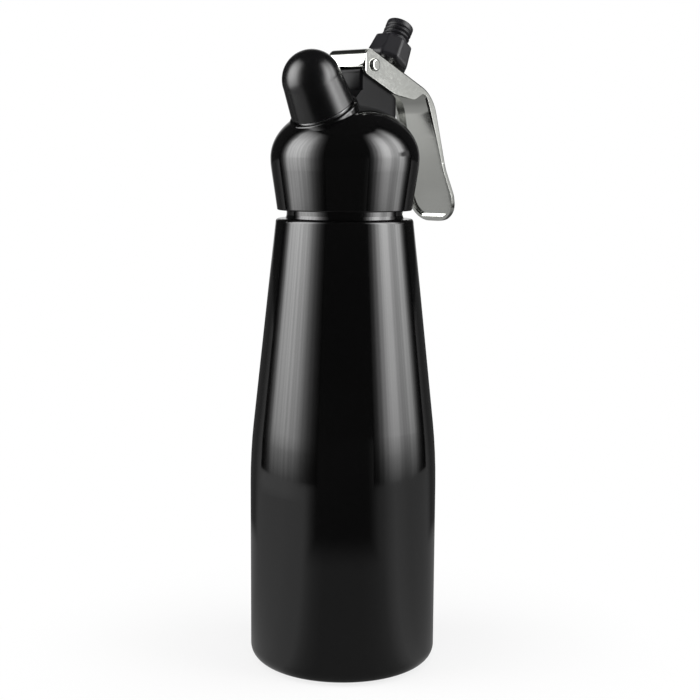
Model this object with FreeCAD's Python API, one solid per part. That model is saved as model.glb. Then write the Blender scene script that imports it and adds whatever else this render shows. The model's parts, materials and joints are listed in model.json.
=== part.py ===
import FreeCAD, Part
import math
import os

V = FreeCAD.Vector

# ---- driving sizes, in millimetres ----
WALL = 1.8
TOUCH_GAP = 0.3
RUN_GAP = 0.05

BASE_R = 40.0
BASE_ROUND = 6.2
TAPER_Z = 90.8
TAPER_BLEND_R = 244.0
SHOULDER_R = 29.0
SHOULDER_Z = 191.3
NECK_R = 24.55
NECK_ROOT_R = 24.95
MOUTH_R = 21.0
MOUTH_Z = 212.0
FLOOR_Z = 2.4
BASE_GROOVE_R = (22.0, 31.0)
BASE_GROOVE_D = 0.7

HEAD_LOW_R = 28.45
HEAD_LOW_Z = 194.8
HEAD_R = 31.3
SKIRT_BEND_Z = 213.9
SKIRT_BEND_R = 36.0
DOME_Z = 216.5
DOME_H = 22.5
GASKET_T = 2.0
CHAMBER_R = 20.0
CHAMBER_TOP_R = 17.0
CHAMBER_TOP_Z = 226.0

CAP_BASE = V(-14.6, 0, 236.5)
CAP_TILT = 30.0
BOSS_R = 14.7
BOSS_TOP = -0.7
BOSS_DEPTH = 9.0
CAP_BASE_R = 13.5
CAP_TOP_R = 12.2
CAP_STRAIGHT = 13.2
INLET_FLANGE_R = 12.2
INLET_R = 10.4
INLET_TOP = 12.6
INLET_BORE_R = 4.9
INLET_BORE_FLOOR = 2.6
INLET_SHANK_R = 4.6
INLET_NUT_TOP = -11.2
INLET_NUT_H = 3.2
INLET_NUT_R = 6.9
INLET_DUCT_R = 1.3
PIN_R = 1.3
SPOT_GAP = 1.1

STEM_AT = V(24.8, 0, 254.2)
STEM_TILT = 32.0
STEM_R = 3.8
STEM_BORE_R = 2.2
STEM_TOP = 10.2
STEM_LOW = -36.6
VALVE_HEAD_R = 5.3
VALVE_HEAD_H = 2.2
BUSH_R = 5.2
BUSH_TOP = -16.0
BUSH_SEAT = -32.0
BUSH_FLANGE_R = 6.0
BUSH_LOW = -34.6
RING_AT = -20.5
RING_R = 0.5
PORT_R = 1.2
PORT_COUNT = 4

TOWER_HALF = 8.2
TOWER_TOP = -11.0
SPRING_WELL_R = 6.1
SPRING_R = 4.9
WIRE_R = 0.45
SPRING_TURNS = 5.0
COLLAR_R = 6.4
COLLAR_TOP_R = 4.6
COLLAR_TOP = -2.9
COLLAR_EDGE = -3.3
COLLAR_LOW = -5.2
SCREW_AT = (1.0, 6.0)
SCREW_R = 1.25
SCREW_TOP = 243.2
SCREW_HEAD_R = 2.0
SCREW_HEAD_H = 1.5

HINGE = V(6.9, 0, 254.9)
HINGE_R = 1.6
HUMP_R = 3.0
EAR_INNER = 6.2
DECK_Z = 253.1
RECESS_D = 0.7
RECESS_EDGE = 1.3
SHEET = 1.5
LEVER_EDGE_R = 0.9
LEVER_HALF = 10.0
PADDLE_HALF = 12.2
RIM = 3.0
PIN_HEAD_R = 2.7
PIN_HEAD_H = 1.1
WASHER_R = 2.9

ADAPTER_LOW = 2.5
ADAPTER_SHOULDER = 13.6
ADAPTER_TOP = 22.9
ADAPTER_LOW_ACROSS = 18.4
ADAPTER_TOP_ACROSS = 16.2
ADAPTER_SIDES = 8
NOZZLE_R = 5.9
NOZZLE_BORE_R = 2.3
ADAPTER_WASHER_T = 1.0


def unit(tilt):
    return V(math.sin(math.radians(tilt)), 0, math.cos(math.radians(tilt)))


def placed(shape, origin, tilt):
    """Stand a shape made on +Z on a point, leaning toward +X by the tilt."""
    moved = shape.copy()
    lean = FreeCAD.Placement(origin, FreeCAD.Rotation(V(0, 1, 0), tilt))
    moved.Placement = lean.multiply(shape.Placement)
    return moved


def rounded_edges(points, closed=True):
    """Lines and tangent arcs in the XZ plane through (x, z, radius) corners."""
    corners = [V(p[0], 0, p[1]) for p in points]
    radii = [p[2] if len(p) > 2 else 0.0 for p in points]
    count = len(corners)
    starts = []
    ends = []
    arcs = []
    for i in range(count):
        here = corners[i]
        open_end = not closed and i in (0, count - 1)
        if radii[i] <= 0.0 or open_end:
            starts.append(here)
            ends.append(here)
            arcs.append(None)
            continue
        back = (corners[i - 1] - here).normalize()
        ahead = (corners[(i + 1) % count] - here).normalize()
        half = back.getAngle(ahead) / 2.0
        reach = radii[i] / math.tan(half)
        middle = (back + ahead).normalize()
        centre = here + middle * (radii[i] / math.sin(half))
        first = here + back * reach
        last = here + ahead * reach
        starts.append(first)
        ends.append(last)
        arcs.append(Part.Arc(first, centre - middle * radii[i], last).toShape())
    edges = []
    for i in range(count):
        if arcs[i]:
            edges.append(arcs[i])
        if i == count - 1 and not closed:
            break
        target = starts[(i + 1) % count]
        if ends[i].distanceToPoint(target) > 1e-6:
            edges.append(Part.LineSegment(ends[i], target).toShape())
    return edges


def outline(points):
    return Part.Face(Part.Wire(rounded_edges(points)))


def turned(points):
    """A solid of revolution about Z from (radius, height, corner radius) points."""
    return outline(points).revolve(V(0, 0, 0), V(0, 0, 1), 360)


def rod(radius, low, high):
    return Part.makeCylinder(radius, high - low, V(0, 0, low))


def tube(outer, inner, low, high):
    return rod(outer, low, high).cut(rod(inner, low, high))


def on_stem(shape):
    return placed(shape, STEM_AT, STEM_TILT)


def on_inlet(shape):
    return placed(shape, CAP_BASE, -CAP_TILT)


def slab(points, half):
    """Extrude an XZ outline the same way to both sides of Y = 0."""
    face = outline(points)
    face.translate(V(0, -half, 0))
    return face.extrude(V(0, 2.0 * half, 0))


def plan_block(points, low, high):
    """Extrude an XY outline between two heights."""
    face = outline(points)
    face.rotate(V(0, 0, 0), V(1, 0, 0), -90)
    face.translate(V(0, 0, low))
    return face.extrude(V(0, 0, high - low))


def prism(sides, across, height, low):
    """A regular polygon prism with its flats facing the axes."""
    radius = across / 2.0 / math.cos(math.pi / sides)
    corners = []
    for i in range(sides + 1):
        angle = (i + 0.5) * 2.0 * math.pi / sides
        corners.append(V(radius * math.cos(angle), radius * math.sin(angle), low))
    return Part.Face(Part.makePolygon(corners)).extrude(V(0, 0, height))


def inner_path(points, distance):
    """Move an open path to its right by a distance, keeping its corners concentric."""
    lines = []
    for a, b in zip(points[:-1], points[1:]):
        along = V(b[0] - a[0], 0, b[1] - a[1]).normalize()
        side = V(along.z, 0, -along.x) * distance
        lines.append((V(a[0], 0, a[1]) + side, along, V(b[0], 0, b[1]) + side))
    moved = [(lines[0][0].x, lines[0][0].z, 0.0)]
    for i in range(1, len(lines)):
        start, along, _ = lines[i - 1]
        other, turn, _ = lines[i]
        gap = other - start
        cross = along.x * turn.z - along.z * turn.x
        run = (gap.x * turn.z - gap.z * turn.x) / cross
        corner = start + along * run
        moved.append((corner.x, corner.z, points[i][2] - distance))
    last = lines[-1][2]
    moved.append((last.x, last.z, 0.0))
    return moved


parts = {}

# ---- bottle: drawn aluminium, heavier at the threaded neck ----
parts["bottle"] = turned([
    (0, 0),
    (BASE_GROOVE_R[0], 0),
    (BASE_GROOVE_R[0] + BASE_GROOVE_D, BASE_GROOVE_D),
    (BASE_GROOVE_R[1] - BASE_GROOVE_D, BASE_GROOVE_D),
    (BASE_GROOVE_R[1], 0),
    (BASE_R, 0, BASE_ROUND),
    (BASE_R, TAPER_Z, TAPER_BLEND_R),
    (SHOULDER_R, SHOULDER_Z, 1.5),
    (NECK_ROOT_R, SHOULDER_Z, 0.3),
    (NECK_R, SHOULDER_Z + 1.5),
    (NECK_R, MOUTH_Z, 0.7),
    (MOUTH_R, MOUTH_Z, 0.7),
    (MOUTH_R, SHOULDER_Z - WALL, 2.0),
    (SHOULDER_R - WALL - 0.4, SHOULDER_Z - WALL - 3.0, 4.0),
    (BASE_R - WALL, TAPER_Z, TAPER_BLEND_R - WALL),
    (BASE_R - WALL, FLOOR_Z, BASE_ROUND - WALL),
    (0, FLOOR_Z),
])

# ---- head: cast dome with inlet boss, chamber, thread bore and cross bores ----
gasket_z = MOUTH_Z + GASKET_T
bore_r = NECK_R + TOUCH_GAP
dome_arc = Part.ArcOfEllipse(
    Part.Ellipse(V(HEAD_R, 0, DOME_Z), V(0, 0, DOME_Z + DOME_H), V(0, 0, DOME_Z)), 0, math.pi / 2)
skirt = rounded_edges([
    (0, HEAD_LOW_Z), (HEAD_LOW_R, HEAD_LOW_Z, 0.6), (HEAD_R, SKIRT_BEND_Z, SKIRT_BEND_R), (HEAD_R, DOME_Z),
], False)
spine = Part.LineSegment(V(0, 0, DOME_Z + DOME_H), V(0, 0, HEAD_LOW_Z)).toShape()
dome = Part.Face(Part.Wire(skirt + [dome_arc.toShape(), spine])).revolve(V(0, 0, 0), V(0, 0, 1), 360)
boss = turned([(0, -BOSS_DEPTH), (BOSS_R, -BOSS_DEPTH), (BOSS_R, BOSS_TOP, 0.9), (0, BOSS_TOP)])
head_block = dome.fuse(on_inlet(boss)).removeSplitter()
chamber = turned([
    (0, HEAD_LOW_Z - 1.0),
    (bore_r, HEAD_LOW_Z - 1.0),
    (bore_r, gasket_z),
    (CHAMBER_R, gasket_z),
    (CHAMBER_TOP_R, CHAMBER_TOP_Z, 3.0),
    (0, CHAMBER_TOP_Z),
])
entry = turned([(0, HEAD_LOW_Z - 1.0), (bore_r + 1.6, HEAD_LOW_Z - 1.0), (bore_r, HEAD_LOW_Z + 0.6),
                (0, HEAD_LOW_Z + 0.6)])
inlet_hole = on_inlet(rod(INLET_SHANK_R, INLET_NUT_TOP, 1.0))
inlet_spot = on_inlet(rod(INLET_NUT_R + SPOT_GAP, INLET_NUT_TOP - 8.0, INLET_NUT_TOP))
bush_hole = on_stem(rod(BUSH_R, BUSH_SEAT, TOWER_TOP))
bush_spot = on_stem(rod(BUSH_FLANGE_R + SPOT_GAP, BUSH_SEAT - 8.0, BUSH_SEAT))
boss_face = on_inlet(rod(BOSS_R, BOSS_TOP, BOSS_TOP + 9.0))
head_block = head_block.cut(boss_face)
head = head_block
for void in (chamber, entry, inlet_hole, inlet_spot, bush_hole, bush_spot):
    head = head.cut(void)
screw_holes = []
for side in (-1, 1):
    at = V(SCREW_AT[0], side * SCREW_AT[1], 0)
    shank = rod(SCREW_R, CHAMBER_TOP_Z, SCREW_TOP)
    shank.translate(at)
    screw_holes.append(shank)
    head = head.cut(shank)
parts["head_shell"] = head

parts["head_gasket"] = turned([
    (CHAMBER_R + 0.6, MOUTH_Z),
    (bore_r - 0.3, MOUTH_Z, 0.5),
    (bore_r - 0.3, gasket_z, 0.5),
    (CHAMBER_R + 0.6, gasket_z),
])

# ---- valve tower: moulded block that carries the hinge and guides the piston ----
top_mid = STEM_AT + unit(STEM_TILT) * TOWER_TOP
fall = math.tan(math.radians(STEM_TILT))
tower_back = 22.4
hump_x = HINGE.x + HUMP_R + 0.8
tower = slab([
    (-4.2, 232.0),
    (-4.2, 240.0),
    (0.5, 244.4),
    (0.5, HINGE.z - 1.4, 1.2),
    (HINGE.x - HUMP_R, HINGE.z - 1.4, 0.8),
    (HINGE.x - HUMP_R, HINGE.z + HUMP_R, HUMP_R - 0.2),
    (HINGE.x + HUMP_R, HINGE.z + HUMP_R, HUMP_R - 0.2),
    (hump_x, top_mid.z + (top_mid.x - hump_x) * fall, 1.5),
    (tower_back, top_mid.z + (top_mid.x - tower_back) * fall, 1.0),
    (tower_back, 226.0),
], TOWER_HALF)
tower = tower.common(plan_block([
    (-6.0, -TOWER_HALF), (tower_back, -TOWER_HALF, 3.0), (tower_back, TOWER_HALF, 3.0), (-6.0, TOWER_HALF),
], 220.0, 270.0))
bevel = 0.9
for side in (-1, 1):
    edge = TOWER_HALF * side
    tower = tower.cut(plan_block([
        (0.4, edge + 0.1 * side), (0.5 + bevel, edge + 0.1 * side), (0.5 + bevel, edge),
        (0.5, edge - bevel * side), (0.4, edge - bevel * side),
    ], 244.4, 270.0))
tower = tower.cut(head_block)
tower = tower.cut(on_stem(rod(BUSH_R, BUSH_SEAT, 0.0)))
tower = tower.cut(on_stem(rod(SPRING_WELL_R, BUSH_TOP, 0.0)))
tower = tower.cut(Part.makeCylinder(HINGE_R, 40.0, HINGE - V(0, 20, 0), V(0, 1, 0)))
tower = tower.cut(Part.makeBox(hump_x + 1.0, 2.0 * EAR_INNER, 20.0, V(-1.0, -EAR_INNER, DECK_Z)))
recess_half = TOWER_HALF - RECESS_EDGE
tower = tower.cut(Part.makeBox(2.0 + RECESS_D, 2.0 * recess_half, DECK_Z - 244.4 - 2.0 * RECESS_EDGE,
                               V(-1.5, -recess_half, 244.4 + RECESS_EDGE)))
for shank in screw_holes:
    tower = tower.cut(shank)
parts["valve_tower"] = tower

screws = []
for side in (-1, 1):
    screw = turned([
        (0, CHAMBER_TOP_Z - SCREW_HEAD_H),
        (SCREW_HEAD_R, CHAMBER_TOP_Z - SCREW_HEAD_H, 0.4),
        (SCREW_HEAD_R, CHAMBER_TOP_Z),
        (SCREW_R, CHAMBER_TOP_Z),
        (SCREW_R, SCREW_TOP),
        (0, SCREW_TOP),
    ])
    socket = prism(6, 1.6, 1.0, CHAMBER_TOP_Z - SCREW_HEAD_H)
    screw = screw.cut(socket)
    screw.translate(V(SCREW_AT[0], side * SCREW_AT[1], 0))
    screws.append(screw)
parts["tower_screws"] = Part.makeCompound(screws)

# ---- valve: bush, hollow piston, seat gasket, ring, spring and collar ----
bush = turned([
    (STEM_R + RUN_GAP, BUSH_LOW),
    (BUSH_FLANGE_R, BUSH_LOW, 0.4),
    (BUSH_FLANGE_R, BUSH_SEAT),
    (BUSH_R, BUSH_SEAT),
    (BUSH_R, BUSH_TOP),
    (STEM_R + RUN_GAP, BUSH_TOP),
])
ring_path_r = STEM_R + RUN_GAP + RING_R
bush = bush.cut(tube(ring_path_r + RING_R, STEM_R, RING_AT - RING_R, RING_AT + RING_R))
parts["valve_bush"] = on_stem(bush)
ring = Part.makeTorus(ring_path_r, RING_R, V(0, 0, RING_AT))
parts["stem_ring"] = on_stem(ring)

head_low = STEM_LOW - VALVE_HEAD_H
piston = turned([
    (0, head_low),
    (VALVE_HEAD_R, head_low, 0.6),
    (VALVE_HEAD_R, STEM_LOW - 0.1, 0.3),
    (STEM_BORE_R + 0.8, STEM_LOW - 0.1),
    (STEM_BORE_R + 0.8, BUSH_LOW + 0.6),
    (STEM_R, BUSH_LOW + 1.4),
    (STEM_R, STEM_TOP, 0.4),
    (STEM_BORE_R, STEM_TOP, 0.2),
    (STEM_BORE_R, BUSH_LOW + 2.0),
    (0, BUSH_LOW + 2.0),
])
for i in range(PORT_COUNT):
    port = Part.makeCylinder(PORT_R, STEM_R + 1.0, V(0, 0, BUSH_LOW + 3.4), V(1, 0, 0))
    port.rotate(V(0, 0, 0), V(0, 0, 1), (i + 0.5) * 360.0 / PORT_COUNT)
    piston = piston.cut(port)
parts["valve_piston"] = on_stem(piston)
parts["piston_gasket"] = on_stem(turned([
    (STEM_BORE_R + 0.8, STEM_LOW - 0.1),
    (VALVE_HEAD_R - 0.2, STEM_LOW - 0.1, 0.2),
    (VALVE_HEAD_R - 0.2, BUSH_LOW, 0.5),
    (STEM_BORE_R + 0.8, BUSH_LOW),
]))
parts["spring_collar"] = on_stem(turned([
    (STEM_R, COLLAR_LOW),
    (COLLAR_R, COLLAR_LOW, 0.3),
    (COLLAR_R, COLLAR_EDGE),
    (COLLAR_TOP_R, COLLAR_TOP),
    (STEM_R, COLLAR_TOP),
]))
coil_low = BUSH_TOP + WIRE_R
coil_rise = COLLAR_LOW - WIRE_R - coil_low


def coil_point(step):
    """A point on the spring's centre line and the way the wire runs there."""
    angle = step * math.pi / 2
    rise = coil_rise / (SPRING_TURNS * 4)
    point = V(SPRING_R * math.cos(angle), SPRING_R * math.sin(angle), coil_low + rise * step)
    run = SPRING_R * math.pi / 2
    return point, V(-run * math.sin(angle), run * math.cos(angle), rise).normalize()


def arc_between(start, corner, end):
    """The arc that leaves start toward corner and reaches end."""
    chord_mid = (start + end) / 2.0
    half_chord = start.distanceToPoint(chord_mid)
    reach = corner.distanceToPoint(chord_mid)
    sag = half_chord * math.tan(math.atan2(reach, half_chord) / 2.0)
    return Part.Arc(start, chord_mid + (corner - chord_mid) * (sag / reach), end).toShape()


coil_edges = []
for step in range(int(SPRING_TURNS * 4)):
    start, leave = coil_point(step)
    end, arrive = coil_point(step + 1)
    chord = end - start
    both = leave + arrive
    spread = 2.0 * (1.0 - leave.dot(arrive))
    reach = (math.sqrt(chord.dot(both) ** 2 + spread * chord.dot(chord)) - chord.dot(both)) / spread
    near = start + leave * reach
    far = end - arrive * reach
    joint = (near + far) / 2.0
    coil_edges.append(arc_between(start, near, joint))
    coil_edges.append(arc_between(joint, far, end))
first, leave = coil_point(0)
section = Part.Wire(Part.makeCircle(WIRE_R, first, leave))
spring = Part.Wire(coil_edges).makePipeShell([section], True, False)
parts["return_spring"] = on_stem(spring)

# ---- charger inlet with piercing pin, seals and lock nut ----
inlet = turned([
    (INLET_DUCT_R, INLET_NUT_TOP - INLET_NUT_H - 1.2),
    (INLET_SHANK_R, INLET_NUT_TOP - INLET_NUT_H - 1.2, 0.4),
    (INLET_SHANK_R, BOSS_TOP),
    (INLET_FLANGE_R, BOSS_TOP),
    (INLET_FLANGE_R, 0.0),
    (INLET_R, 0.0),
    (INLET_R, INLET_TOP, 0.9),
    (INLET_BORE_R, INLET_TOP, 0.6),
    (INLET_BORE_R, INLET_BORE_FLOOR),
    (INLET_DUCT_R, INLET_BORE_FLOOR),
])
parts["charger_inlet"] = on_inlet(inlet)
parts["inlet_nut"] = on_inlet(
    prism(6, 2.0 * INLET_NUT_R * math.cos(math.pi / 6), INLET_NUT_H, INLET_NUT_TOP - INLET_NUT_H)
    .cut(rod(INLET_SHANK_R, INLET_NUT_TOP - INLET_NUT_H, INLET_NUT_TOP)))
parts["piercing_pin"] = on_inlet(turned([
    (0.45, INLET_BORE_FLOOR - 4.0),
    (PIN_R, INLET_BORE_FLOOR - 4.0),
    (PIN_R, INLET_BORE_FLOOR + 3.6),
    (0.75, INLET_BORE_FLOOR + 6.0),
    (0.45, INLET_BORE_FLOOR + 6.0),
]))
parts["inlet_seal"] = on_inlet(turned([
    (PIN_R, INLET_BORE_FLOOR),
    (INLET_BORE_R, INLET_BORE_FLOOR),
    (INLET_BORE_R, INLET_BORE_FLOOR + 2.4, 0.3),
    (PIN_R, INLET_BORE_FLOOR + 2.4),
]))
sleeve_low = INLET_NUT_TOP - INLET_NUT_H - 1.2
parts["inlet_check_valve"] = on_inlet(turned([
    (0, sleeve_low - 3.4),
    (1.6, sleeve_low - 3.4, 1.0),
    (3.4, sleeve_low, 0.6),
    (0.0, sleeve_low),
]))

# ---- protective cap ----
cap_in_r = INLET_R + TOUCH_GAP
cap_edges = rounded_edges([(cap_in_r, 0), (CAP_BASE_R, 0, 0.6), (CAP_TOP_R, CAP_STRAIGHT)], False)
top_arc = Part.Arc(V(CAP_TOP_R, 0, CAP_STRAIGHT),
                   V(CAP_TOP_R * math.sin(math.pi / 4), 0,
                     CAP_STRAIGHT + CAP_TOP_R * math.cos(math.pi / 4)),
                   V(0, 0, CAP_STRAIGHT + CAP_TOP_R)).toShape()
inner_arc = Part.Arc(V(0, 0, CAP_STRAIGHT + cap_in_r),
                     V(cap_in_r * math.sin(math.pi / 4), 0,
                       CAP_STRAIGHT + cap_in_r * math.cos(math.pi / 4)),
                     V(cap_in_r, 0, CAP_STRAIGHT)).toShape()
crown = Part.LineSegment(V(0, 0, CAP_STRAIGHT + CAP_TOP_R), V(0, 0, CAP_STRAIGHT + cap_in_r)).toShape()
bore_wall = Part.LineSegment(V(cap_in_r, 0, CAP_STRAIGHT), V(cap_in_r, 0, 0)).toShape()
inside = [crown, inner_arc, bore_wall]
cap = Part.Face(Part.Wire(cap_edges + [top_arc] + inside)).revolve(V(0, 0, 0), V(0, 0, 1), 360)
parts["protective_cap"] = on_inlet(cap)

# ---- lever: one stamped channel, hinge plates in front, tray-like handle behind ----
slope = math.tan(math.radians(22.0))
lever_top = 261.8
handle_run = 0.315
bend = (48.64, 244.17, 18.0)
tip_z = 188.9
tip_x = bend[0] + handle_run * (bend[1] - tip_z)
front_x = 0.5
spine_path = [(front_x, lever_top + (5.0 - front_x) * slope, 0.0), bend, (tip_x, tip_z, 0.0)]
rim_path = inner_path(spine_path, RIM)
skin_path = inner_path(spine_path, SHEET)
plate = [
    (spine_path[0][0], spine_path[0][1], 3.0),
    bend,
    (tip_x, tip_z, 1.2),
    (rim_path[2][0], rim_path[2][1], 0.6),
    (56.1, 212.0, 60.0),
    (51.7, 224.0, 40.0),
    (45.9, 238.4, 6.0),
    (43.6, 243.4, 2.5),
    (40.8, 244.3, 3.0),
    (35.0, 241.5, 5.0),
    (21.0, 243.4, 12.0),
    (1.0, 251.4, 2.5),
    (front_x, 256.0),
]


def handle_plan(inset):
    """The lever's outline seen along X, so the handle ends in a wider rounded paddle."""
    half = LEVER_HALF - inset
    wide = PADDLE_HALF - inset
    low = tip_z - 0.6 + inset
    points = [
        (-half, 275.0), (half, 275.0), (half, 212.0, 30.0 + inset), (wide, 200.0, 12.0 - inset),
        (wide - 1.0, low, 9.5 - inset), (-wide + 1.0, low, 9.5 - inset), (-wide, 200.0, 12.0 - inset),
        (-half, 212.0, 30.0 + inset),
    ]
    face = outline(points)
    face.rotate(V(0, 0, 0), V(0, 0, 1), 90)
    face.translate(V(-10.0, 0, 0))
    return face.extrude(V(100.0, 0, 0))


outer = slab(plate, 20.0).common(handle_plan(0.0))
hollow = slab([
    (-12.0, skin_path[0][1] + (skin_path[0][0] + 12.0) * slope),
    skin_path[1],
    (skin_path[2][0] - handle_run * SHEET, skin_path[2][1] + SHEET + 0.5, 1.0),
    (-12.0, skin_path[2][1] + SHEET + 0.5),
], 20.0).common(handle_plan(SHEET))
soft = [e for e in outer.Edges
        if e.Length > 5.0 and abs(abs(e.valueAt((e.FirstParameter + e.LastParameter) / 2).y)
                                  - LEVER_HALF) < 2.5
        and e.BoundBox.YLength < 2.6 and e.CenterOfMass.z > 0]


def on_spine(edge):
    """True for an edge that runs along the lever's outer skin."""
    middle = edge.valueAt((edge.FirstParameter + edge.LastParameter) / 2)
    top = lever_top + (5.0 - middle.x) * slope
    side = bend[0] + handle_run * (bend[1] - middle.z)
    return min(abs(top - middle.z), abs(side - middle.x)) < 0.05 or (
        38.0 < middle.x < 54.0 and middle.z > top - 3.2 and middle.x > side - 3.2)


soft = [e for e in soft if on_spine(e)]
outer = outer.makeFillet(LEVER_EDGE_R, soft)
lever = outer.cut(hollow)
slot_r = STEM_R + 0.8
slot_shift = 1.7
slot = on_stem(rod(slot_r, -6.0, 6.0))
for step in (0.0, slot_shift):
    moved = slot.copy()
    moved.translate(V(-step * math.cos(math.radians(STEM_TILT)), 0, step * math.sin(math.radians(STEM_TILT))))
    lever = lever.cut(moved)
between = Part.makeBox(slot_shift, 2.0 * slot_r, 12.0, V(-slot_shift, -slot_r, -6.0))
lever = lever.cut(on_stem(between))
lever = lever.cut(Part.makeCylinder(HINGE_R + RUN_GAP, 40.0, HINGE - V(0, 20, 0), V(0, 1, 0)))
parts["lever"] = lever

# ---- hinge pin, its domed heads and the washers beside the tower ----
pin_end = LEVER_HALF + 0.1
hinge_pin = turned([
    (0, -pin_end - PIN_HEAD_H),
    (PIN_HEAD_R, -pin_end - PIN_HEAD_H, 0.9),
    (PIN_HEAD_R, -pin_end),
    (HINGE_R, -pin_end),
    (HINGE_R, pin_end),
    (0, pin_end),
])
rivet = turned([
    (0, pin_end),
    (PIN_HEAD_R, pin_end),
    (PIN_HEAD_R, pin_end + PIN_HEAD_H, 0.9),
    (0, pin_end + PIN_HEAD_H),
])


def across(shape):
    moved = shape.copy()
    turn = FreeCAD.Placement(HINGE, FreeCAD.Rotation(V(1, 0, 0), -90))
    moved.Placement = turn.multiply(shape.Placement)
    return moved


parts["lever_pin"] = across(hinge_pin)
parts["pin_rivet"] = across(rivet)
washer = tube(WASHER_R, HINGE_R + RUN_GAP, TOWER_HALF, LEVER_HALF - SHEET - RUN_GAP)
low_washer = washer.copy()
low_washer.rotate(V(0, 0, 0), V(1, 0, 0), 180)
parts["hinge_washers"] = Part.makeCompound([across(washer), across(low_washer)])

# ---- nozzle adapter: faceted grip below a threaded nose ----
facet_pair = []
for across_flats, height in ((ADAPTER_LOW_ACROSS, ADAPTER_LOW + 1.2), (ADAPTER_TOP_ACROSS, ADAPTER_SHOULDER)):
    radius = across_flats / 2.0 / math.cos(math.pi / ADAPTER_SIDES)
    ring_points = []
    for i in range(ADAPTER_SIDES + 1):
        angle = (i + 0.5) * 2.0 * math.pi / ADAPTER_SIDES
        ring_points.append(V(radius * math.cos(angle), radius * math.sin(angle), height))
    facet_pair.append(Part.makePolygon(ring_points))
grip = Part.makeLoft(facet_pair, True, True)
grip_shell = turned([
    (0, ADAPTER_LOW),
    (ADAPTER_LOW_ACROSS / 2.0 - 0.6, ADAPTER_LOW),
    (ADAPTER_LOW_ACROSS / 2.0 + 0.9, ADAPTER_LOW + 1.6),
    (ADAPTER_LOW_ACROSS / 2.0 + 0.9, ADAPTER_SHOULDER - 1.9),
    (ADAPTER_TOP_ACROSS / 2.0 - 1.0, ADAPTER_SHOULDER),
    (0, ADAPTER_SHOULDER),
])
foot = turned([
    (0, ADAPTER_LOW), (ADAPTER_LOW_ACROSS / 2.0 - 0.6, ADAPTER_LOW, 0.3),
    (ADAPTER_LOW_ACROSS / 2.0, ADAPTER_LOW + 1.2), (0, ADAPTER_LOW + 1.2)])
nose = turned([
    (0, ADAPTER_SHOULDER - 1.0), (NOZZLE_R, ADAPTER_SHOULDER - 1.0), (NOZZLE_R, ADAPTER_TOP, 0.7),
    (0, ADAPTER_TOP)])
adapter = grip.common(grip_shell).fuse(foot).fuse(nose).removeSplitter()
seat_top = STEM_TOP + ADAPTER_WASHER_T
adapter = adapter.cut(rod(STEM_R + RUN_GAP, ADAPTER_LOW - 1.0, seat_top))
adapter = adapter.cut(rod(NOZZLE_BORE_R, ADAPTER_LOW, ADAPTER_TOP + 1.0))
parts["nozzle_adapter"] = on_stem(adapter)
parts["adapter_washer"] = on_stem(tube(STEM_R - 0.05, NOZZLE_BORE_R, STEM_TOP, seat_top))

os.makedirs("parts", exist_ok=True)
for name, shape in parts.items():
    shape.exportStep("parts/" + name + ".step")
    print(name, shape.isValid(), len(shape.Solids), round(shape.Volume, 1))
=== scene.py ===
import json
import math

import bmesh
import bpy
from mathutils import Matrix, Vector


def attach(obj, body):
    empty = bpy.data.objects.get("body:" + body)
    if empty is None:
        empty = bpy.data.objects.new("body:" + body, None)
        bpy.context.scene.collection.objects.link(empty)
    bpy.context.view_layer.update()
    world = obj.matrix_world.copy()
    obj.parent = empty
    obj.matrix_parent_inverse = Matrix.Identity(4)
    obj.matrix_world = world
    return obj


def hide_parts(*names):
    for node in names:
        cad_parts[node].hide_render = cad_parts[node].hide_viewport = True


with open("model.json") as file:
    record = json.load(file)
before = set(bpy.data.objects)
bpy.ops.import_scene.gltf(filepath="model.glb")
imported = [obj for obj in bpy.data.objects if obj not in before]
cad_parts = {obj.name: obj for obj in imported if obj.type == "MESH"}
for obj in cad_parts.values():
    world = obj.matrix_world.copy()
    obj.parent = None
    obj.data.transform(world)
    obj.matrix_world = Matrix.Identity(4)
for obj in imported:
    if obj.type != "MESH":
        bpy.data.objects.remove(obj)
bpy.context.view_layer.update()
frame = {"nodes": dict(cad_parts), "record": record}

# Places taken over from the solids, and the side that the photograph shows
MM = 0.001
STEM_AT = Vector((24.8, 0, 254.2)) * MM
STEM_TILT = math.radians(32.0)
CAP_BASE = Vector((-14.6, 0, 236.5)) * MM
CAP_TILT = math.radians(-30.0)
DOME_R = 31.3
DOME_H = 22.5
VIEW_AZIMUTH = math.radians(-50.0)

# A colour Mix node's two colour inputs and its colour output, by number
MIX_FIRST, MIX_SECOND, MIX_RESULT = 6, 7, 2


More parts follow.
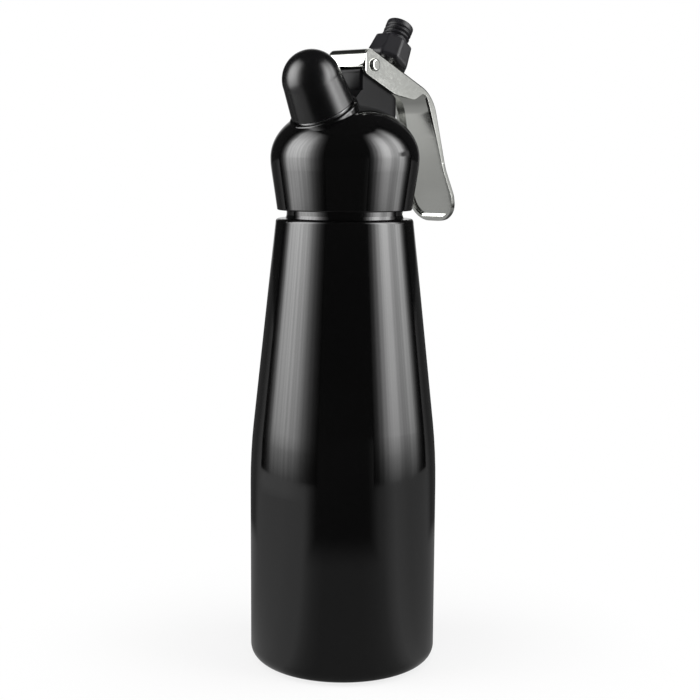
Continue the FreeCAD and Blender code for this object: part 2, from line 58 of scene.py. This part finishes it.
# Shader arithmetic
class Sock:
    """A shader socket that can be used in sums like a number."""

    def __init__(self, tree, socket):
        self.tree = tree
        self.socket = socket

    def _math(self, operation, *others):
        node = self.tree.nodes.new("ShaderNodeMath")
        node.operation = operation
        for index, value in enumerate((self,) + others):
            if isinstance(value, Sock):
                self.tree.links.new(value.socket, node.inputs[index])
            else:
                node.inputs[index].default_value = value
        return Sock(self.tree, node.outputs[0])

    def _flipped(self, operation, other):
        node = self.tree.nodes.new("ShaderNodeMath")
        node.operation = operation
        node.inputs[0].default_value = other
        self.tree.links.new(self.socket, node.inputs[1])
        return Sock(self.tree, node.outputs[0])

    def __add__(self, other):
        return self._math("ADD", other)

    __radd__ = __add__

    def __sub__(self, other):
        return self._math("SUBTRACT", other)

    def __rsub__(self, other):
        return self._flipped("SUBTRACT", other)

    def __mul__(self, other):
        return self._math("MULTIPLY", other)

    __rmul__ = __mul__

    def __truediv__(self, other):
        return self._math("DIVIDE", other)

    def abs(self):
        return self._math("ABSOLUTE")

    def largest(self, other):
        return self._math("MAXIMUM", other)

    def degrees_from(self, other):
        """The angle, in degrees, whose tangent is this over the other."""
        return self._math("ARCTAN2", other) * (180.0 / math.pi)

    def between(self, low, high, out_low=0.0, out_high=1.0, soft=True):
        """Map the range low to high onto out_low to out_high, eased at both ends if soft."""
        return add_node(self.tree, "ShaderNodeMapRange",
                        {"interpolation_type": "SMOOTHSTEP" if soft else "LINEAR"},
                        {"Value": self, "From Min": low, "From Max": high,
                         "To Min": out_low, "To Max": out_high}, "Result")

    def inside(self, start, full, fade, end):
        """1 from full to fade, eased to 0 at start and at end."""
        return self.between(start, full) * self.between(fade, end, 1.0, 0.0)

    def mix(self, first, second):
        """The first colour where this is 0, the second where it is 1."""
        return add_node(self.tree, "ShaderNodeMix", {"data_type": "RGBA"},
                        {0: self, MIX_FIRST: first, MIX_SECOND: second}, MIX_RESULT)

    def ramp(self, stops, top=10.0):
        """A curve through (position, height) stops, with heights from 0 to top."""
        low, high = stops[0][0], stops[-1][0]
        colours = [((at - low) / (high - low), height / top) for at, height in stops]
        flat = self.between(low, high, 0.0, 1.0, False)
        return add_node(self.tree, "ShaderNodeValToRGB", {"stops": colours}, {0: flat}, 0) * top


def add_node(tree, kind, settings=None, inputs=None, output=0):
    """Any shader node: its settings first, then its inputs, then the output asked for."""
    node = tree.nodes.new(kind)
    for name, value in (settings or {}).items():
        if name == "stops":
            elements = node.color_ramp.elements
            while len(elements) > 1:
                elements.remove(elements[-1])
            for index, (at, height) in enumerate(value):
                element = elements[0] if index == 0 else elements.new(at)
                element.position = at
                element.color = (height, height, height, 1.0)
        else:
            setattr(node, name, value)
    for name, value in (inputs or {}).items():
        socket = node.inputs[name]
        if isinstance(value, Sock):
            tree.links.new(value.socket, socket)
        elif isinstance(value, tuple) and socket.type == "RGBA" and len(value) == 3:
            socket.default_value = (*value, 1.0)
        else:
            socket.default_value = value
    return Sock(tree, node.outputs[output])


class Paint:
    """A material whose patterns read the object's own coordinates."""

    def __init__(self, name):
        self.material = bpy.data.materials.new(name)
        self.material.use_nodes = True
        self.tree = self.material.node_tree
        self.shader = self.tree.nodes["Principled BSDF"]
        self.coords = add_node(self.tree, "ShaderNodeTexCoord", output="Object")

    def noise(self, scale, detail=2.0, stretch=(1, 1, 1), turn=(0, 0, 0)):
        place = add_node(self.tree, "ShaderNodeMapping", None,
                         {"Vector": self.coords, "Scale": stretch, "Rotation": turn})
        return add_node(self.tree, "ShaderNodeTexNoise", None,
                        {"Vector": place, "Scale": scale, "Detail": detail})

    def set(self, **values):
        for name, value in values.items():
            socket = self.shader.inputs[name.replace("_", " ")]
            if isinstance(value, Sock):
                self.tree.links.new(value.socket, socket)
            elif isinstance(value, tuple):
                socket.default_value = (*value, 1.0)
            else:
                socket.default_value = value
        return self

    def bump(self, height, strength, distance=0.0002):
        normal = add_node(self.tree, "ShaderNodeBump", None,
                          {"Strength": strength, "Distance": distance, "Height": height}, "Normal")
        self.tree.links.new(normal.socket, self.shader.inputs["Normal"])
        return self


def lacquer(name, turn, rough):
    """Gloss black lacquer with faint orange peel, wiping marks and a few duller patches."""
    p = Paint(name)
    cloud = p.noise(9.0, 3.0, turn=turn)
    peel = p.noise(240.0, 2.0, turn=turn)
    wipes = p.noise(55.0, 4.0, (1.0, 1.0, 0.06), turn)
    orange_peel = peel.between(0.3, 0.7, rough - 0.015, rough + 0.02)
    p.set(Base_Color=cloud.between(0.35, 0.7).mix((0.0020, 0.0020, 0.0021),
                                                  (0.0034, 0.0033, 0.0033)),
          Roughness=orange_peel + wipes.between(0.5, 0.8, 0.0, 0.035), IOR=GLOSS_IOR)
    p.bump(peel + cloud * 2.0, 0.045, 0.00012)
    return p.material


def plastic(name, dark, light, rough, grain=900.0, strength=0.1, ior=1.6):
    """Moulded plastic with a fine spark grain and soft mottling."""
    p = Paint(name)
    cloud = p.noise(60.0, 3.0)
    fine = p.noise(grain, 3.0)
    sparks = fine.between(0.3, 0.7, rough - 0.025, rough + 0.025)
    p.set(Base_Color=cloud.between(0.35, 0.65).mix(dark, light),
          Roughness=sparks + cloud.between(0.45, 0.75, 0.0, 0.02), IOR=ior)
    p.bump(fine, strength, 0.0001)
    return p.material


def steel(name, dark, light, rough, stretch, turn=(0, 0, 0), strength=0.05):
    """Metal with fine polishing lines that run one way, a little duller in patches."""
    p = Paint(name)
    lines = p.noise(700.0, 3.0, stretch, turn)
    patch = p.noise(35.0, 3.0)
    polish = lines.between(0.3, 0.7, rough - 0.03, rough + 0.04)
    p.set(Base_Color=patch.between(0.3, 0.7).mix(dark, light), Metallic=1.0,
          Roughness=polish + patch.between(0.5, 0.8, 0.0, 0.04))
    p.bump(lines, strength, 0.00006)
    return p.material


def rubber(name, dark, light):
    """Matt silicone, slightly cloudy."""
    p = Paint(name)
    cloud = p.noise(120.0, 3.0)
    p.set(Base_Color=cloud.between(0.3, 0.7).mix(dark, light),
          Roughness=cloud.between(0.3, 0.7, 0.5, 0.65))
    p.bump(cloud, 0.1)
    return p.material


GLOSS_IOR = 1.8
MATERIAL = {
    "lacquer_body": lacquer("lacquer_body", (0, 0, 0), 0.07),
    "lacquer_head": lacquer("lacquer_head", (0.4, 0.2, 0.9), 0.06),
    "silicone": rubber("silicone", (0.55, 0.53, 0.5), (0.66, 0.64, 0.61)),
    "tower_plastic": plastic("tower_plastic", (0.004, 0.004, 0.0045), (0.006, 0.006, 0.007), 0.3,
                             strength=0.03, ior=1.3),
    "stainless": steel("stainless", (0.52, 0.52, 0.51), (0.64, 0.64, 0.63), 0.24, (1, 1, 0.05),
                       (0, STEM_TILT, 0)),
    "collar_plastic": plastic("collar_plastic", (0.02, 0.02, 0.022), (0.028, 0.028, 0.03), 0.5),
    "inlet_metal": steel("inlet_metal", (0.58, 0.58, 0.59), (0.7, 0.7, 0.7), 0.28, (1, 1, 0.05)),
    "brass": steel("brass", (0.62, 0.43, 0.17), (0.76, 0.56, 0.26), 0.25, (1, 1, 0.1)),
    "cap_plastic": plastic("cap_plastic", (0.0030, 0.0030, 0.0033), (0.0042, 0.0042, 0.0046), 0.22,
                           400.0, 0.006, 1.72),
    "lever_steel": steel("lever_steel", (0.76, 0.77, 0.73), (0.83, 0.84, 0.80), 0.11, (1, 0.04, 1),
                         strength=0.03),
    "adapter_plastic": plastic("adapter_plastic", (0.009, 0.009, 0.0105), (0.014, 0.0135, 0.016),
                               0.36, ior=1.5),
}
NODE_SLOT = {s["node"]: s["material_slot"] for s in frame["record"]["subparts"]}
for node_name, node in frame["nodes"].items():
    node.data.materials.clear()
    node.data.materials.append(MATERIAL[NODE_SLOT[node_name]])


# Meshes
def lean(origin, tilt):
    return Matrix.Translation(origin) @ Matrix.Rotation(tilt, 4, "Y")


def modified(mesh, kind, **settings):
    """The mesh after one modifier, as a plain mesh again."""
    holder = bpy.data.objects.new("holder", mesh)
    bpy.context.scene.collection.objects.link(holder)
    modifier = holder.modifiers.new("change", kind)
    for name, value in settings.items():
        setattr(modifier, name, value)
    depsgraph = bpy.context.evaluated_depsgraph_get()
    result = bpy.data.meshes.new_from_object(holder.evaluated_get(depsgraph))
    bpy.data.objects.remove(holder)
    return result


def add_piece(name, mesh, material, body, matrix=None, angle=35.0, flats=False):
    """Place a finished mesh, give it its finish and let it ride on its body.

    Edges sharper than the angle stay sharp, and flats keeps the shading of flat faces flat.
    """
    if matrix is not None:
        mesh.transform(matrix)
    mesh.materials.clear()
    mesh.materials.append(MATERIAL[material])
    for polygon in mesh.polygons:
        polygon.use_smooth = True
    mesh.set_sharp_from_angle(angle=math.radians(angle))
    if flats:
        mesh = modified(mesh, "WEIGHTED_NORMAL", keep_sharp=True, weight=60)
    piece = bpy.data.objects.new(name, mesh)
    bpy.context.scene.collection.objects.link(piece)
    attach(piece, body)
    return piece


def as_mesh(bm, name):
    mesh = bpy.data.meshes.new(name)
    bm.to_mesh(mesh)
    bm.free()
    return mesh


def lathe(name, rings, steps, radius_at):
    """A closed skin round Z. rings are (radius, height), and radius_at may change each point."""
    bm = bmesh.new()
    rows = []
    for radius, height in rings:
        row = []
        for i in range(steps):
            angle = 2.0 * math.pi * i / steps
            r = radius_at(angle, radius, height)
            row.append(bm.verts.new((r * math.cos(angle) * MM, r * math.sin(angle) * MM, height * MM)))
        rows.append(row)
    for low, high in zip(rows, rows[1:] + rows[:1]):
        for i in range(steps):
            j = (i + 1) % steps
            bm.faces.new((low[i], low[j], high[j], high[i]))
    bmesh.ops.recalc_face_normals(bm, faces=bm.faces)
    return as_mesh(bm, name)


def strip(name, section, low, high):
    """A closed bar across Y with a section of (x, z) points."""
    bm = bmesh.new()
    ends = [[bm.verts.new((x * MM, y * MM, z * MM)) for x, z in section] for y in (low, high)]
    for a in range(len(section)):
        b = (a + 1) % len(section)
        bm.faces.new((ends[0][a], ends[0][b], ends[1][b], ends[1][a]))
    bm.faces.new(ends[0])
    bm.faces.new(ends[1])
    bmesh.ops.recalc_face_normals(bm, faces=bm.faces)
    return as_mesh(bm, name)


# Nozzle adapter: faceted grip, helical thread, open bore. Heights run up the stem, in mm
NOSE_R = 5.98
NOSE_Z = 13.9
NOSE_TOP = 22.9
BORE_R = 2.3
SOCKET_R = 3.9
SOCKET_TOP = 11.3
FOOT_Z = 2.5
GRIP_R = 9.2
GRIP_TAPER = 1.1 / 9.0
GRIP_START = 3.9
SHOULDER_R = 7.2
SHOULDER_Z = 13.7
CORNER_LEFT = 0.982
PITCH = 2.06
THREAD_LOW = 14.3
THREAD_HIGH = 20.6
THREAD_DEPTH = 0.88
THREAD_ROWS = 90
# Any ring of the outline inside this radius belongs to the bore or the socket
INSIDE_R = 5.0


def grip_wall(angle, flat_radius):
    """Distance to the wall of an octagon whose corners are slightly blunted."""
    step = math.pi / 4.0
    off = (angle + step / 2.0) % step - step / 2.0
    corner = flat_radius / math.cos(step / 2.0)
    return min(flat_radius / math.cos(off), corner * CORNER_LEFT)


def adapter_radius(angle, radius, height):
    """The outline's radius turned into the bore, the facets or the thread at this angle."""
    if radius < INSIDE_R:
        return radius
    if height > SHOULDER_Z:
        if radius < NOSE_R - 0.001 or not THREAD_LOW < height < THREAD_HIGH:
            return radius
        phase = (height / PITCH - angle / (2.0 * math.pi)) % 1.0
        ridge = 0.5 - 0.5 * math.cos(2.0 * math.pi * phase)
        fade = min(1.0, (height - THREAD_LOW) / 0.5, (THREAD_HIGH - height) / 1.2)
        return radius - THREAD_DEPTH * (1.0 - ridge) ** 1.3 * fade
    if radius <= SHOULDER_R:
        return radius
    return grip_wall(angle, radius)


def adapter_outline():
    """(radius, height) from the socket's mouth, up the outside and back down the bore."""
    rings = [(SOCKET_R, FOOT_Z), (8.3, FOOT_Z), (8.55, 2.7), (9.15, 3.7)]
    rings += [(GRIP_R - GRIP_TAPER * (h - GRIP_START), h)
              for h in (GRIP_START, 5.0, 7.0, 9.0, 11.0, 12.3, 12.8)]
    rings += [(7.95, 13.1), (7.5, 13.5), (7.1, 13.62), (6.4, 13.64), (6.05, SHOULDER_Z)]
    rings.append((NOSE_R, NOSE_Z))
    rings += [(NOSE_R, THREAD_LOW + (THREAD_HIGH - THREAD_LOW) * k / THREAD_ROWS)
              for k in range(THREAD_ROWS + 1)]
    rings += [(NOSE_R, 22.2), (5.9, 22.6), (5.7, 22.8), (5.4, 22.88), (3.0, NOSE_TOP),
              (2.4, 22.8), (BORE_R, 22.5), (BORE_R, SOCKET_TOP), (SOCKET_R, 11.25)]
    return rings


adapter = add_piece("adapter_look", lathe("adapter_look", adapter_outline(), 160, adapter_radius),
                    "adapter_plastic", "nozzle", lean(STEM_AT, STEM_TILT), 28.0)
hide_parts("nozzle_adapter")


def stamped(node_name, width):
    """A merged copy of a solid's mesh with every sharp edge rounded over by the width."""
    mesh = frame["nodes"][node_name].data.copy()
    if "custom_normal" in mesh.attributes:
        mesh.attributes.remove(mesh.attributes["custom_normal"])
    bm = bmesh.new()
    bm.from_mesh(mesh)
    bmesh.ops.remove_doubles(bm, verts=bm.verts, dist=0.000002)
    bmesh.ops.dissolve_limit(bm, angle_limit=math.radians(0.3), verts=bm.verts, edges=bm.edges)
    bmesh.ops.recalc_face_normals(bm, faces=bm.faces)
    bm.to_mesh(mesh)
    bm.free()
    return modified(mesh, "BEVEL", width=width * MM, segments=3, limit_method="ANGLE",
                    angle_limit=math.radians(50.0), use_clamp_overlap=True)


# Lever: the stamped channel with its cut edges broken, and its front wall bent down
EDGE_BREAK = 0.22
FRONT_X = 0.46
FRONT_T = 1.4
FRONT_LOW = 254.4
FRONT_HALF = 9.2
BEND_R = 4.5
BEND_STEPS = 16
WEB_SLOPE = math.radians(22.0)
BEND_AT = Vector((FRONT_X + BEND_R, 0.0, 257.0))
SUNK_R = BEND_R - 0.04
PLATE_SPLIT_X = 8.0
lever_mesh = stamped("lever", EDGE_BREAK)
bm = bmesh.new()
bm.from_mesh(lever_mesh)
bmesh.ops.bisect_plane(bm, geom=bm.verts[:] + bm.edges[:] + bm.faces[:],
                       plane_co=(PLATE_SPLIT_X * MM, 0, 0), plane_no=(1, 0, 0))
for vertex in bm.verts:
    out = Vector((vertex.co.x / MM - BEND_AT.x, 0.0, vertex.co.z / MM - BEND_AT.z))
    if out.x < 0.0 < out.z and out.length > SUNK_R:
        out *= SUNK_R / out.length
        vertex.co.x = (BEND_AT.x + out.x) * MM
        vertex.co.z = (BEND_AT.z + out.z) * MM
bm.to_mesh(lever_mesh)
bm.free()
lever = add_piece("lever_look", lever_mesh, "lever_steel", "lever", angle=40.0, flats=True)
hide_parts("lever")


def bend_line(radius):
    """Points round the bend, from the upright front to the sloping top."""
    sweep = math.pi / 2 + WEB_SLOPE
    turns = [sweep * k / BEND_STEPS for k in range(BEND_STEPS + 1)]
    return [(BEND_AT.x - radius * math.cos(turn), BEND_AT.z + radius * math.sin(turn))
            for turn in turns]


wall_section = [(FRONT_X, FRONT_LOW)] + bend_line(BEND_R)
wall_section += bend_line(BEND_R - FRONT_T)[::-1] + [(FRONT_X + FRONT_T, FRONT_LOW)]
add_piece("lever_front", strip("lever_front", wall_section, -FRONT_HALF, FRONT_HALF),
          "lever_steel", "lever")


# Valve tower: the moulded block, its corners eased and its back further out, as photographed
TOWER_EASE = 0.2
TOWER_BACK = 22.4
TOWER_ADD = 3.3
# The move starts this far in front of the back, and is full this much further on
MOVE_STARTS = 4.0
MOVE_EASES = 2.0
TOWER_FOOT_Z = 240.0
tower_mesh = stamped("valve_tower", TOWER_EASE)
for vertex in tower_mesh.vertices:
    share = min(max((vertex.co.x / MM - TOWER_BACK + MOVE_STARTS) / MOVE_EASES, 0.0), 1.0)
    if share > 0.0:
        level = vertex.co.z / MM
        reach = math.hypot(vertex.co.x / MM, vertex.co.y / MM)
        moved_reach = math.hypot(vertex.co.x / MM + TOWER_ADD * share, vertex.co.y / MM)
        vertex.co.x += TOWER_ADD * share * MM
        if level < TOWER_FOOT_Z:
            dome = [DOME_H * math.sqrt(max(1.0 - (r / DOME_R) ** 2, 0.0))
                    for r in (reach, moved_reach)]
            vertex.co.z += (dome[1] - dome[0]) * MM
        else:
            vertex.co.z -= TOWER_ADD * share * math.tan(STEM_TILT) * MM
tower = add_piece("tower_look", tower_mesh, "tower_plastic", "head", angle=40.0, flats=True)
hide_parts("valve_tower")


# Threads on the neck and the inlet: one swept ridge each, made by nodes
def thread_tree():
    tree = bpy.data.node_groups.new("thread", "GeometryNodeTree")
    tree.interface.new_socket("Geometry", in_out="OUTPUT", socket_type="NodeSocketGeometry")
    for label in ("Radius", "Pitch", "Turns", "Ridge"):
        tree.interface.new_socket(label, in_out="INPUT", socket_type="NodeSocketFloat")
    tree.interface.new_socket("Finish", in_out="INPUT", socket_type="NodeSocketMaterial")
    given = tree.nodes.new("NodeGroupInput")

    def add(kind, settings=None, inputs=None):
        node = tree.nodes.new(kind)
        for key, value in (settings or {}).items():
            setattr(node, key, value)
        for key, value in (inputs or {}).items():
            if isinstance(value, bpy.types.NodeSocket):
                tree.links.new(value, node.inputs[key])
            else:
                node.inputs[key].default_value = value
        return node

    rise = add("ShaderNodeMath", {"operation": "MULTIPLY"},
               {0: given.outputs["Pitch"], 1: given.outputs["Turns"]})
    helix = add("GeometryNodeCurveSpiral", None,
                {"Resolution": 96, "Rotations": given.outputs["Turns"],
                 "Start Radius": given.outputs["Radius"], "End Radius": given.outputs["Radius"],
                 "Height": rise.outputs[0]})
    along = add("GeometryNodeSplineParameter")
    start = add("ShaderNodeMapRange", None,
                {"Value": along.outputs["Factor"], "From Min": 0.0, "From Max": 0.06})
    end = add("ShaderNodeMapRange", None,
              {"Value": along.outputs["Factor"], "From Min": 1.0, "From Max": 0.94})
    least = add("ShaderNodeMath", {"operation": "MINIMUM"},
                {0: start.outputs[0], 1: end.outputs[0]})
    swell = add("ShaderNodeMath", {"operation": "MAXIMUM"}, {0: least.outputs[0], 1: 0.05})
    sized = add("GeometryNodeSetCurveRadius", None,
                {"Curve": helix.outputs[0], "Radius": swell.outputs[0]})
    ring = add("GeometryNodeCurvePrimitiveCircle", None,
               {"Resolution": 10, "Radius": given.outputs["Ridge"]})
    swept = add("GeometryNodeCurveToMesh", None,
                {"Curve": sized.outputs[0], "Profile Curve": ring.outputs[0], "Fill Caps": True})
    if "Scale" in swept.inputs:
        tree.links.new(swell.outputs[0], swept.inputs["Scale"])
    made = add("GeometryNodeRealizeInstances", None, {0: swept.outputs[0]})
    coloured = add("GeometryNodeSetMaterial", None,
                   {"Geometry": made.outputs[0], "Material": given.outputs["Finish"]})
    out = tree.nodes.new("NodeGroupOutput")
    tree.links.new(coloured.outputs[0], out.inputs[0])
    return tree


THREAD = thread_tree()


def thread(name, values, material, body, matrix):
    """One thread ridge, realised as a mesh. Lengths in values are in metres."""
    holder = bpy.data.objects.new("holder", bpy.data.meshes.new("holder"))
    bpy.context.scene.collection.objects.link(holder)
    modifier = holder.modifiers.new("thread", "NODES")
    modifier.node_group = THREAD
    for item in THREAD.interface.items_tree:
        if item.in_out == "INPUT":
            value = MATERIAL[material] if item.name == "Finish" else values[item.name]
            modifier[item.identifier] = value
    depsgraph = bpy.context.evaluated_depsgraph_get()
    mesh = bpy.data.meshes.new_from_object(holder.evaluated_get(depsgraph))
    holder.modifiers.clear()
    bpy.data.objects.remove(holder)
    mesh.name = name
    return add_piece(name, mesh, material, body, matrix)


NECK_THREAD_Z = 196.0
INLET_THREAD_Z = 1.6
thread("neck_thread",
       {"Radius": 23.97 * MM, "Pitch": 2.8 * MM, "Turns": 4.5, "Ridge": 0.8 * MM},
       "lacquer_body", "bottle", Matrix.Translation((0.0, 0.0, NECK_THREAD_Z * MM)))
thread("inlet_thread",
       {"Radius": 10.02 * MM, "Pitch": 1.6 * MM, "Turns": 5.5, "Ridge": 0.6 * MM},
       "inlet_metal", "head",
       lean(CAP_BASE, CAP_TILT) @ Matrix.Translation((0.0, 0.0, INLET_THREAD_Z * MM)))


# Light: two tall curved panels, a soft lamp above, a pale floor and a white backdrop
COS_VIEW = math.cos(-VIEW_AZIMUTH)
SIN_VIEW = math.sin(-VIEW_AZIMUTH)


def around(side, away):
    """A floor position from how far it is to the camera's right and how far behind the object."""
    return side * COS_VIEW + away * SIN_VIEW, -side * SIN_VIEW + away * COS_VIEW


def bearing(tree, coords):
    """Degrees round Z from the camera's side, positive to its right, and the height."""
    x, y, z = (add_node(tree, "ShaderNodeSeparateXYZ", None, {0: coords}, k) for k in range(3))
    side = x * COS_VIEW - y * SIN_VIEW
    near = x * -SIN_VIEW - y * COS_VIEW
    return side.degrees_from(near), z


def stage_material(name):
    """A material for the studio, emptied of its nodes."""
    material = bpy.data.materials.new(name)
    material.use_nodes = True
    material.node_tree.nodes.clear()
    return material


def glow(tree, strength):
    return add_node(tree, "ShaderNodeEmission", None, {"Strength": strength})


def show(shader, kind="ShaderNodeOutputMaterial"):
    """Send a shader to the output of its own tree."""
    shader.tree.links.new(shader.socket, shader.tree.nodes.new(kind).inputs[0])


# The panels' brightness by bearing in degrees, and by height in metres
LEFT_STOPS = [(-118, 0), (-112, 0.05), (-107, 0.5), (-102, 1.9), (-97, 5.2), (-90, 6.6), (-80, 7.1),
              (-70, 6.8), (-62, 5.6), (-56, 4.0), (-50, 2.0), (-44, 0.8), (-36, 0.2), (-30, 0)]
RIGHT_STOPS = [(36, 0), (42, 0.5), (48, 1.8), (53, 3.8), (60, 7.0), (68, 8.0), (75, 6.2), (81, 4.2),
               (88, 5.3), (94, 6.2), (99, 4.4), (104, 1.8), (109, 0.4), (114, 0.05), (120, 0)]
WALL_RISE = [(-0.04, 0.2), (0.0, 0.8), (0.025, 1.5), (0.05, 2.3), (0.09, 4.6), (0.14, 5.9),
             (0.18, 6.4), (0.22, 7.4), (0.27, 8.8), (0.42, 9.6), (0.55, 8.8), (0.7, 6.2), (0.9, 2.6),
             (1.1, 0.0)]
RISE_UNIT = 6.5
WALL_RADIUS = 0.5
WALL_LOW = -0.04
WALL_HIGH = 1.1
WALL_COLUMNS = 24
WALL_LIGHT = 0.49
# A dimmer zone in the right panel, which the lever's flat plate mirrors
FLAG_LIGHT = 0.49
FLAG_SIDES = (84.0, 97.0, 107.0, 118.0)
FLAG_HEIGHTS = (0.235, 0.262, 0.3, 0.34)


def wall_brightness(tree, stops):
    angle, height = bearing(tree, add_node(tree, "ShaderNodeTexCoord", output="Object"))
    rise = height.ramp(WALL_RISE) / RISE_UNIT
    folds = add_node(tree, "ShaderNodeTexNoise", {"noise_dimensions": "1D"}, {"W": angle, "Scale": 0.3})
    shade = angle.ramp(stops) * rise * folds.between(0.35, 0.65, 0.86, 1.1) * WALL_LIGHT
    flag = angle.inside(*FLAG_SIDES) * height.inside(*FLAG_HEIGHTS)
    return shade * (1.0 - flag) + flag * FLAG_LIGHT


def light_wall(name, stops):
    """A curved panel round the object that only reflections and the object's surfaces see."""
    bm = bmesh.new()
    columns = []
    first, last = stops[0][0], stops[-1][0]
    for i in range(WALL_COLUMNS + 1):
        angle = math.radians(first + (last - first) * i / WALL_COLUMNS)
        x, y = around(math.sin(angle) * WALL_RADIUS, -math.cos(angle) * WALL_RADIUS)
        columns.append([bm.verts.new((x, y, z)) for z in (WALL_LOW, WALL_HIGH)])
    for a, b in zip(columns[:-1], columns[1:]):
        bm.faces.new((a[0], b[0], b[1], a[1]))
    wall = bpy.data.objects.new(name, as_mesh(bm, name))
    bpy.context.scene.collection.objects.link(wall)
    material = stage_material(name)
    show(glow(material.node_tree, wall_brightness(material.node_tree, stops)))
    wall.data.materials.append(material)
    wall.visible_camera = False
    wall.visible_shadow = False


light_wall("light_left", LEFT_STOPS)
light_wall("light_right", RIGHT_STOPS)

top = bpy.data.lights.new("light_top", "AREA")
top.shape = "RECTANGLE"
top.size = 0.9
top.size_y = 0.5
top.energy = 4.0
top_object = bpy.data.objects.new("light_top", top)
top_object.location = (-0.1, -0.1, 1.1)
top_object.visible_glossy = False
bpy.context.scene.collection.objects.link(top_object)


# Floor: the camera sees white paper with a soft contact shadow, reflections see a dark table with
# painted light on it
FLOOR_REACH = 6.0
FLOOR_SINK = 0.0002
# The table's glow by bearing, painted light: brighter at the sides, where the side panels would light
# it, darker in front
PAINTED_TABLE_STOPS = [(-180, 1.3), (-120, 1.35), (-95, 2.0), (-75, 2.35), (-47, 2.3), (-40, 1.55), (-32, 1.0),
               (-22, 0.7), (22, 0.7), (36, 0.85), (47, 1.2), (55, 1.9), (64, 2.5), (74, 2.2), (84, 1.8),
               (106, 1.45), (120, 1.3), (180, 1.3)]
TABLE_LIGHT = 0.135
ROOM_GLOW = 0.026
BACK_GLOW = 0.9
BACK_FROM, BACK_TO = 152.0, 178.0


def paper(tree, from_foot):
    """What the camera sees: white, with some of the real shading near the foot."""
    return add_node(tree, "ShaderNodeMixShader", None, {
        0: from_foot.between(0.05, 0.16, 0.2, 0.0), 1: glow(tree, 1.0),
        2: add_node(tree, "ShaderNodeBsdfDiffuse", None, {"Color": (0.9, 0.9, 0.9)})})


def painted_table_light(tree, spot, from_foot):
    """What reflections see: a dark table whose glow is painted light, lighter near the foot, at the
    sides and far behind.
    """
    angle = bearing(tree, spot)[0]
    sides = angle.abs().between(28.0, 45.0) * angle.abs().between(118.0, 136.0, 1.0, 0.2)
    reach = from_foot.between(0.2, 0.27, 1.0, 0.0).largest(sides)
    # Painted light: a brighter band on the table to the left, seen only in reflections
    painted_pool_of_light = from_foot.between(0.34, 0.42, 0.0, 0.1) * (angle * -1.0).inside(40.0, 70.0, 105.0, 125.0)
    far = from_foot.between(1.5, 5.0, 0.0, BACK_GLOW) * angle.abs().between(BACK_FROM, BACK_TO)
    return glow(tree, angle.ramp(PAINTED_TABLE_STOPS) * TABLE_LIGHT * reach + painted_pool_of_light + far + ROOM_GLOW)


def floor_finish():
    material = stage_material("floor")
    tree = material.node_tree
    spot = add_node(tree, "ShaderNodeTexCoord", output="Object")
    from_foot = add_node(tree, "ShaderNodeVectorMath", {"operation": "LENGTH"}, {0: spot}, "Value")
    lit = add_node(tree, "ShaderNodeBsdfDiffuse", None, {"Color": (0.35, 0.35, 0.35)})
    matt = add_node(tree, "ShaderNodeMixShader", None, {
        0: add_node(tree, "ShaderNodeLightPath", output="Is Glossy Ray"), 1: lit,
        2: painted_table_light(tree, spot, from_foot)})
    show(add_node(tree, "ShaderNodeMixShader", None, {
        0: add_node(tree, "ShaderNodeLightPath", output="Is Camera Ray"), 1: matt,
        2: paper(tree, from_foot)}))
    return material


bm = bmesh.new()
bm.faces.new([bm.verts.new((*around(side * FLOOR_REACH, away * FLOOR_REACH), -FLOOR_SINK))
              for side, away in ((-1, -1), (1, -1), (1, 1), (-1, 1))])
floor = bpy.data.objects.new("floor", as_mesh(bm, "floor"))
bpy.context.scene.collection.objects.link(floor)
floor.data.materials.append(floor_finish())


# World: white to the camera, a dim room with a glow behind the object to everything else
world = bpy.data.worlds.new("studio")
bpy.context.scene.world = world
world.use_nodes = True
tree = world.node_tree
tree.nodes.clear()
angle, height = bearing(tree, add_node(tree, "ShaderNodeTexCoord", output="Generated"))
back = angle.abs().between(BACK_FROM, BACK_TO, 0.0, BACK_GLOW)
back = back * height.between(-0.3, 0.0) * height.between(0.35, 0.6, 1.0, 0.0)
room = add_node(tree, "ShaderNodeBackground", None, {"Strength": back + ROOM_GLOW})
white = add_node(tree, "ShaderNodeBackground", None, {"Color": (1.0, 1.0, 1.0), "Strength": 1.0})
show(add_node(tree, "ShaderNodeMixShader", None, {
    0: add_node(tree, "ShaderNodeLightPath", output="Is Camera Ray"), 1: room, 2: white}),
    "ShaderNodeOutputWorld")


# Camera, from the photograph's fitted view
LENS = 71.64
FILM_WIDTH = 36.0
NEAREST = 0.01
DISTANCE = 0.59053
EYE = 0.21767
PITCH_DOWN = math.radians(7.96)
YAW = math.radians(0.256)
ROLL = math.radians(0.383)
camera_data = bpy.data.cameras.new("camera")
camera_data.lens = LENS
camera_data.sensor_width = FILM_WIDTH
camera_data.clip_start = NEAREST
camera = bpy.data.objects.new("camera", camera_data)
bpy.context.scene.collection.objects.link(camera)
camera.location = (math.sin(VIEW_AZIMUTH) * DISTANCE, -math.cos(VIEW_AZIMUTH) * DISTANCE, EYE)
camera.rotation_mode = "XYZ"
turn = Matrix.Rotation(VIEW_AZIMUTH - YAW, 3, "Z") @ Matrix.Rotation(math.pi / 2 - PITCH_DOWN, 3, "X")
camera.rotation_euler = (turn @ Matrix.Rotation(ROLL, 3, "Z")).to_euler()
bpy.context.scene.camera = camera
bpy.context.scene.view_settings.view_transform = "Standard"
bpy.context.scene.view_settings.look = "None"

bpy.context.view_layer.update()
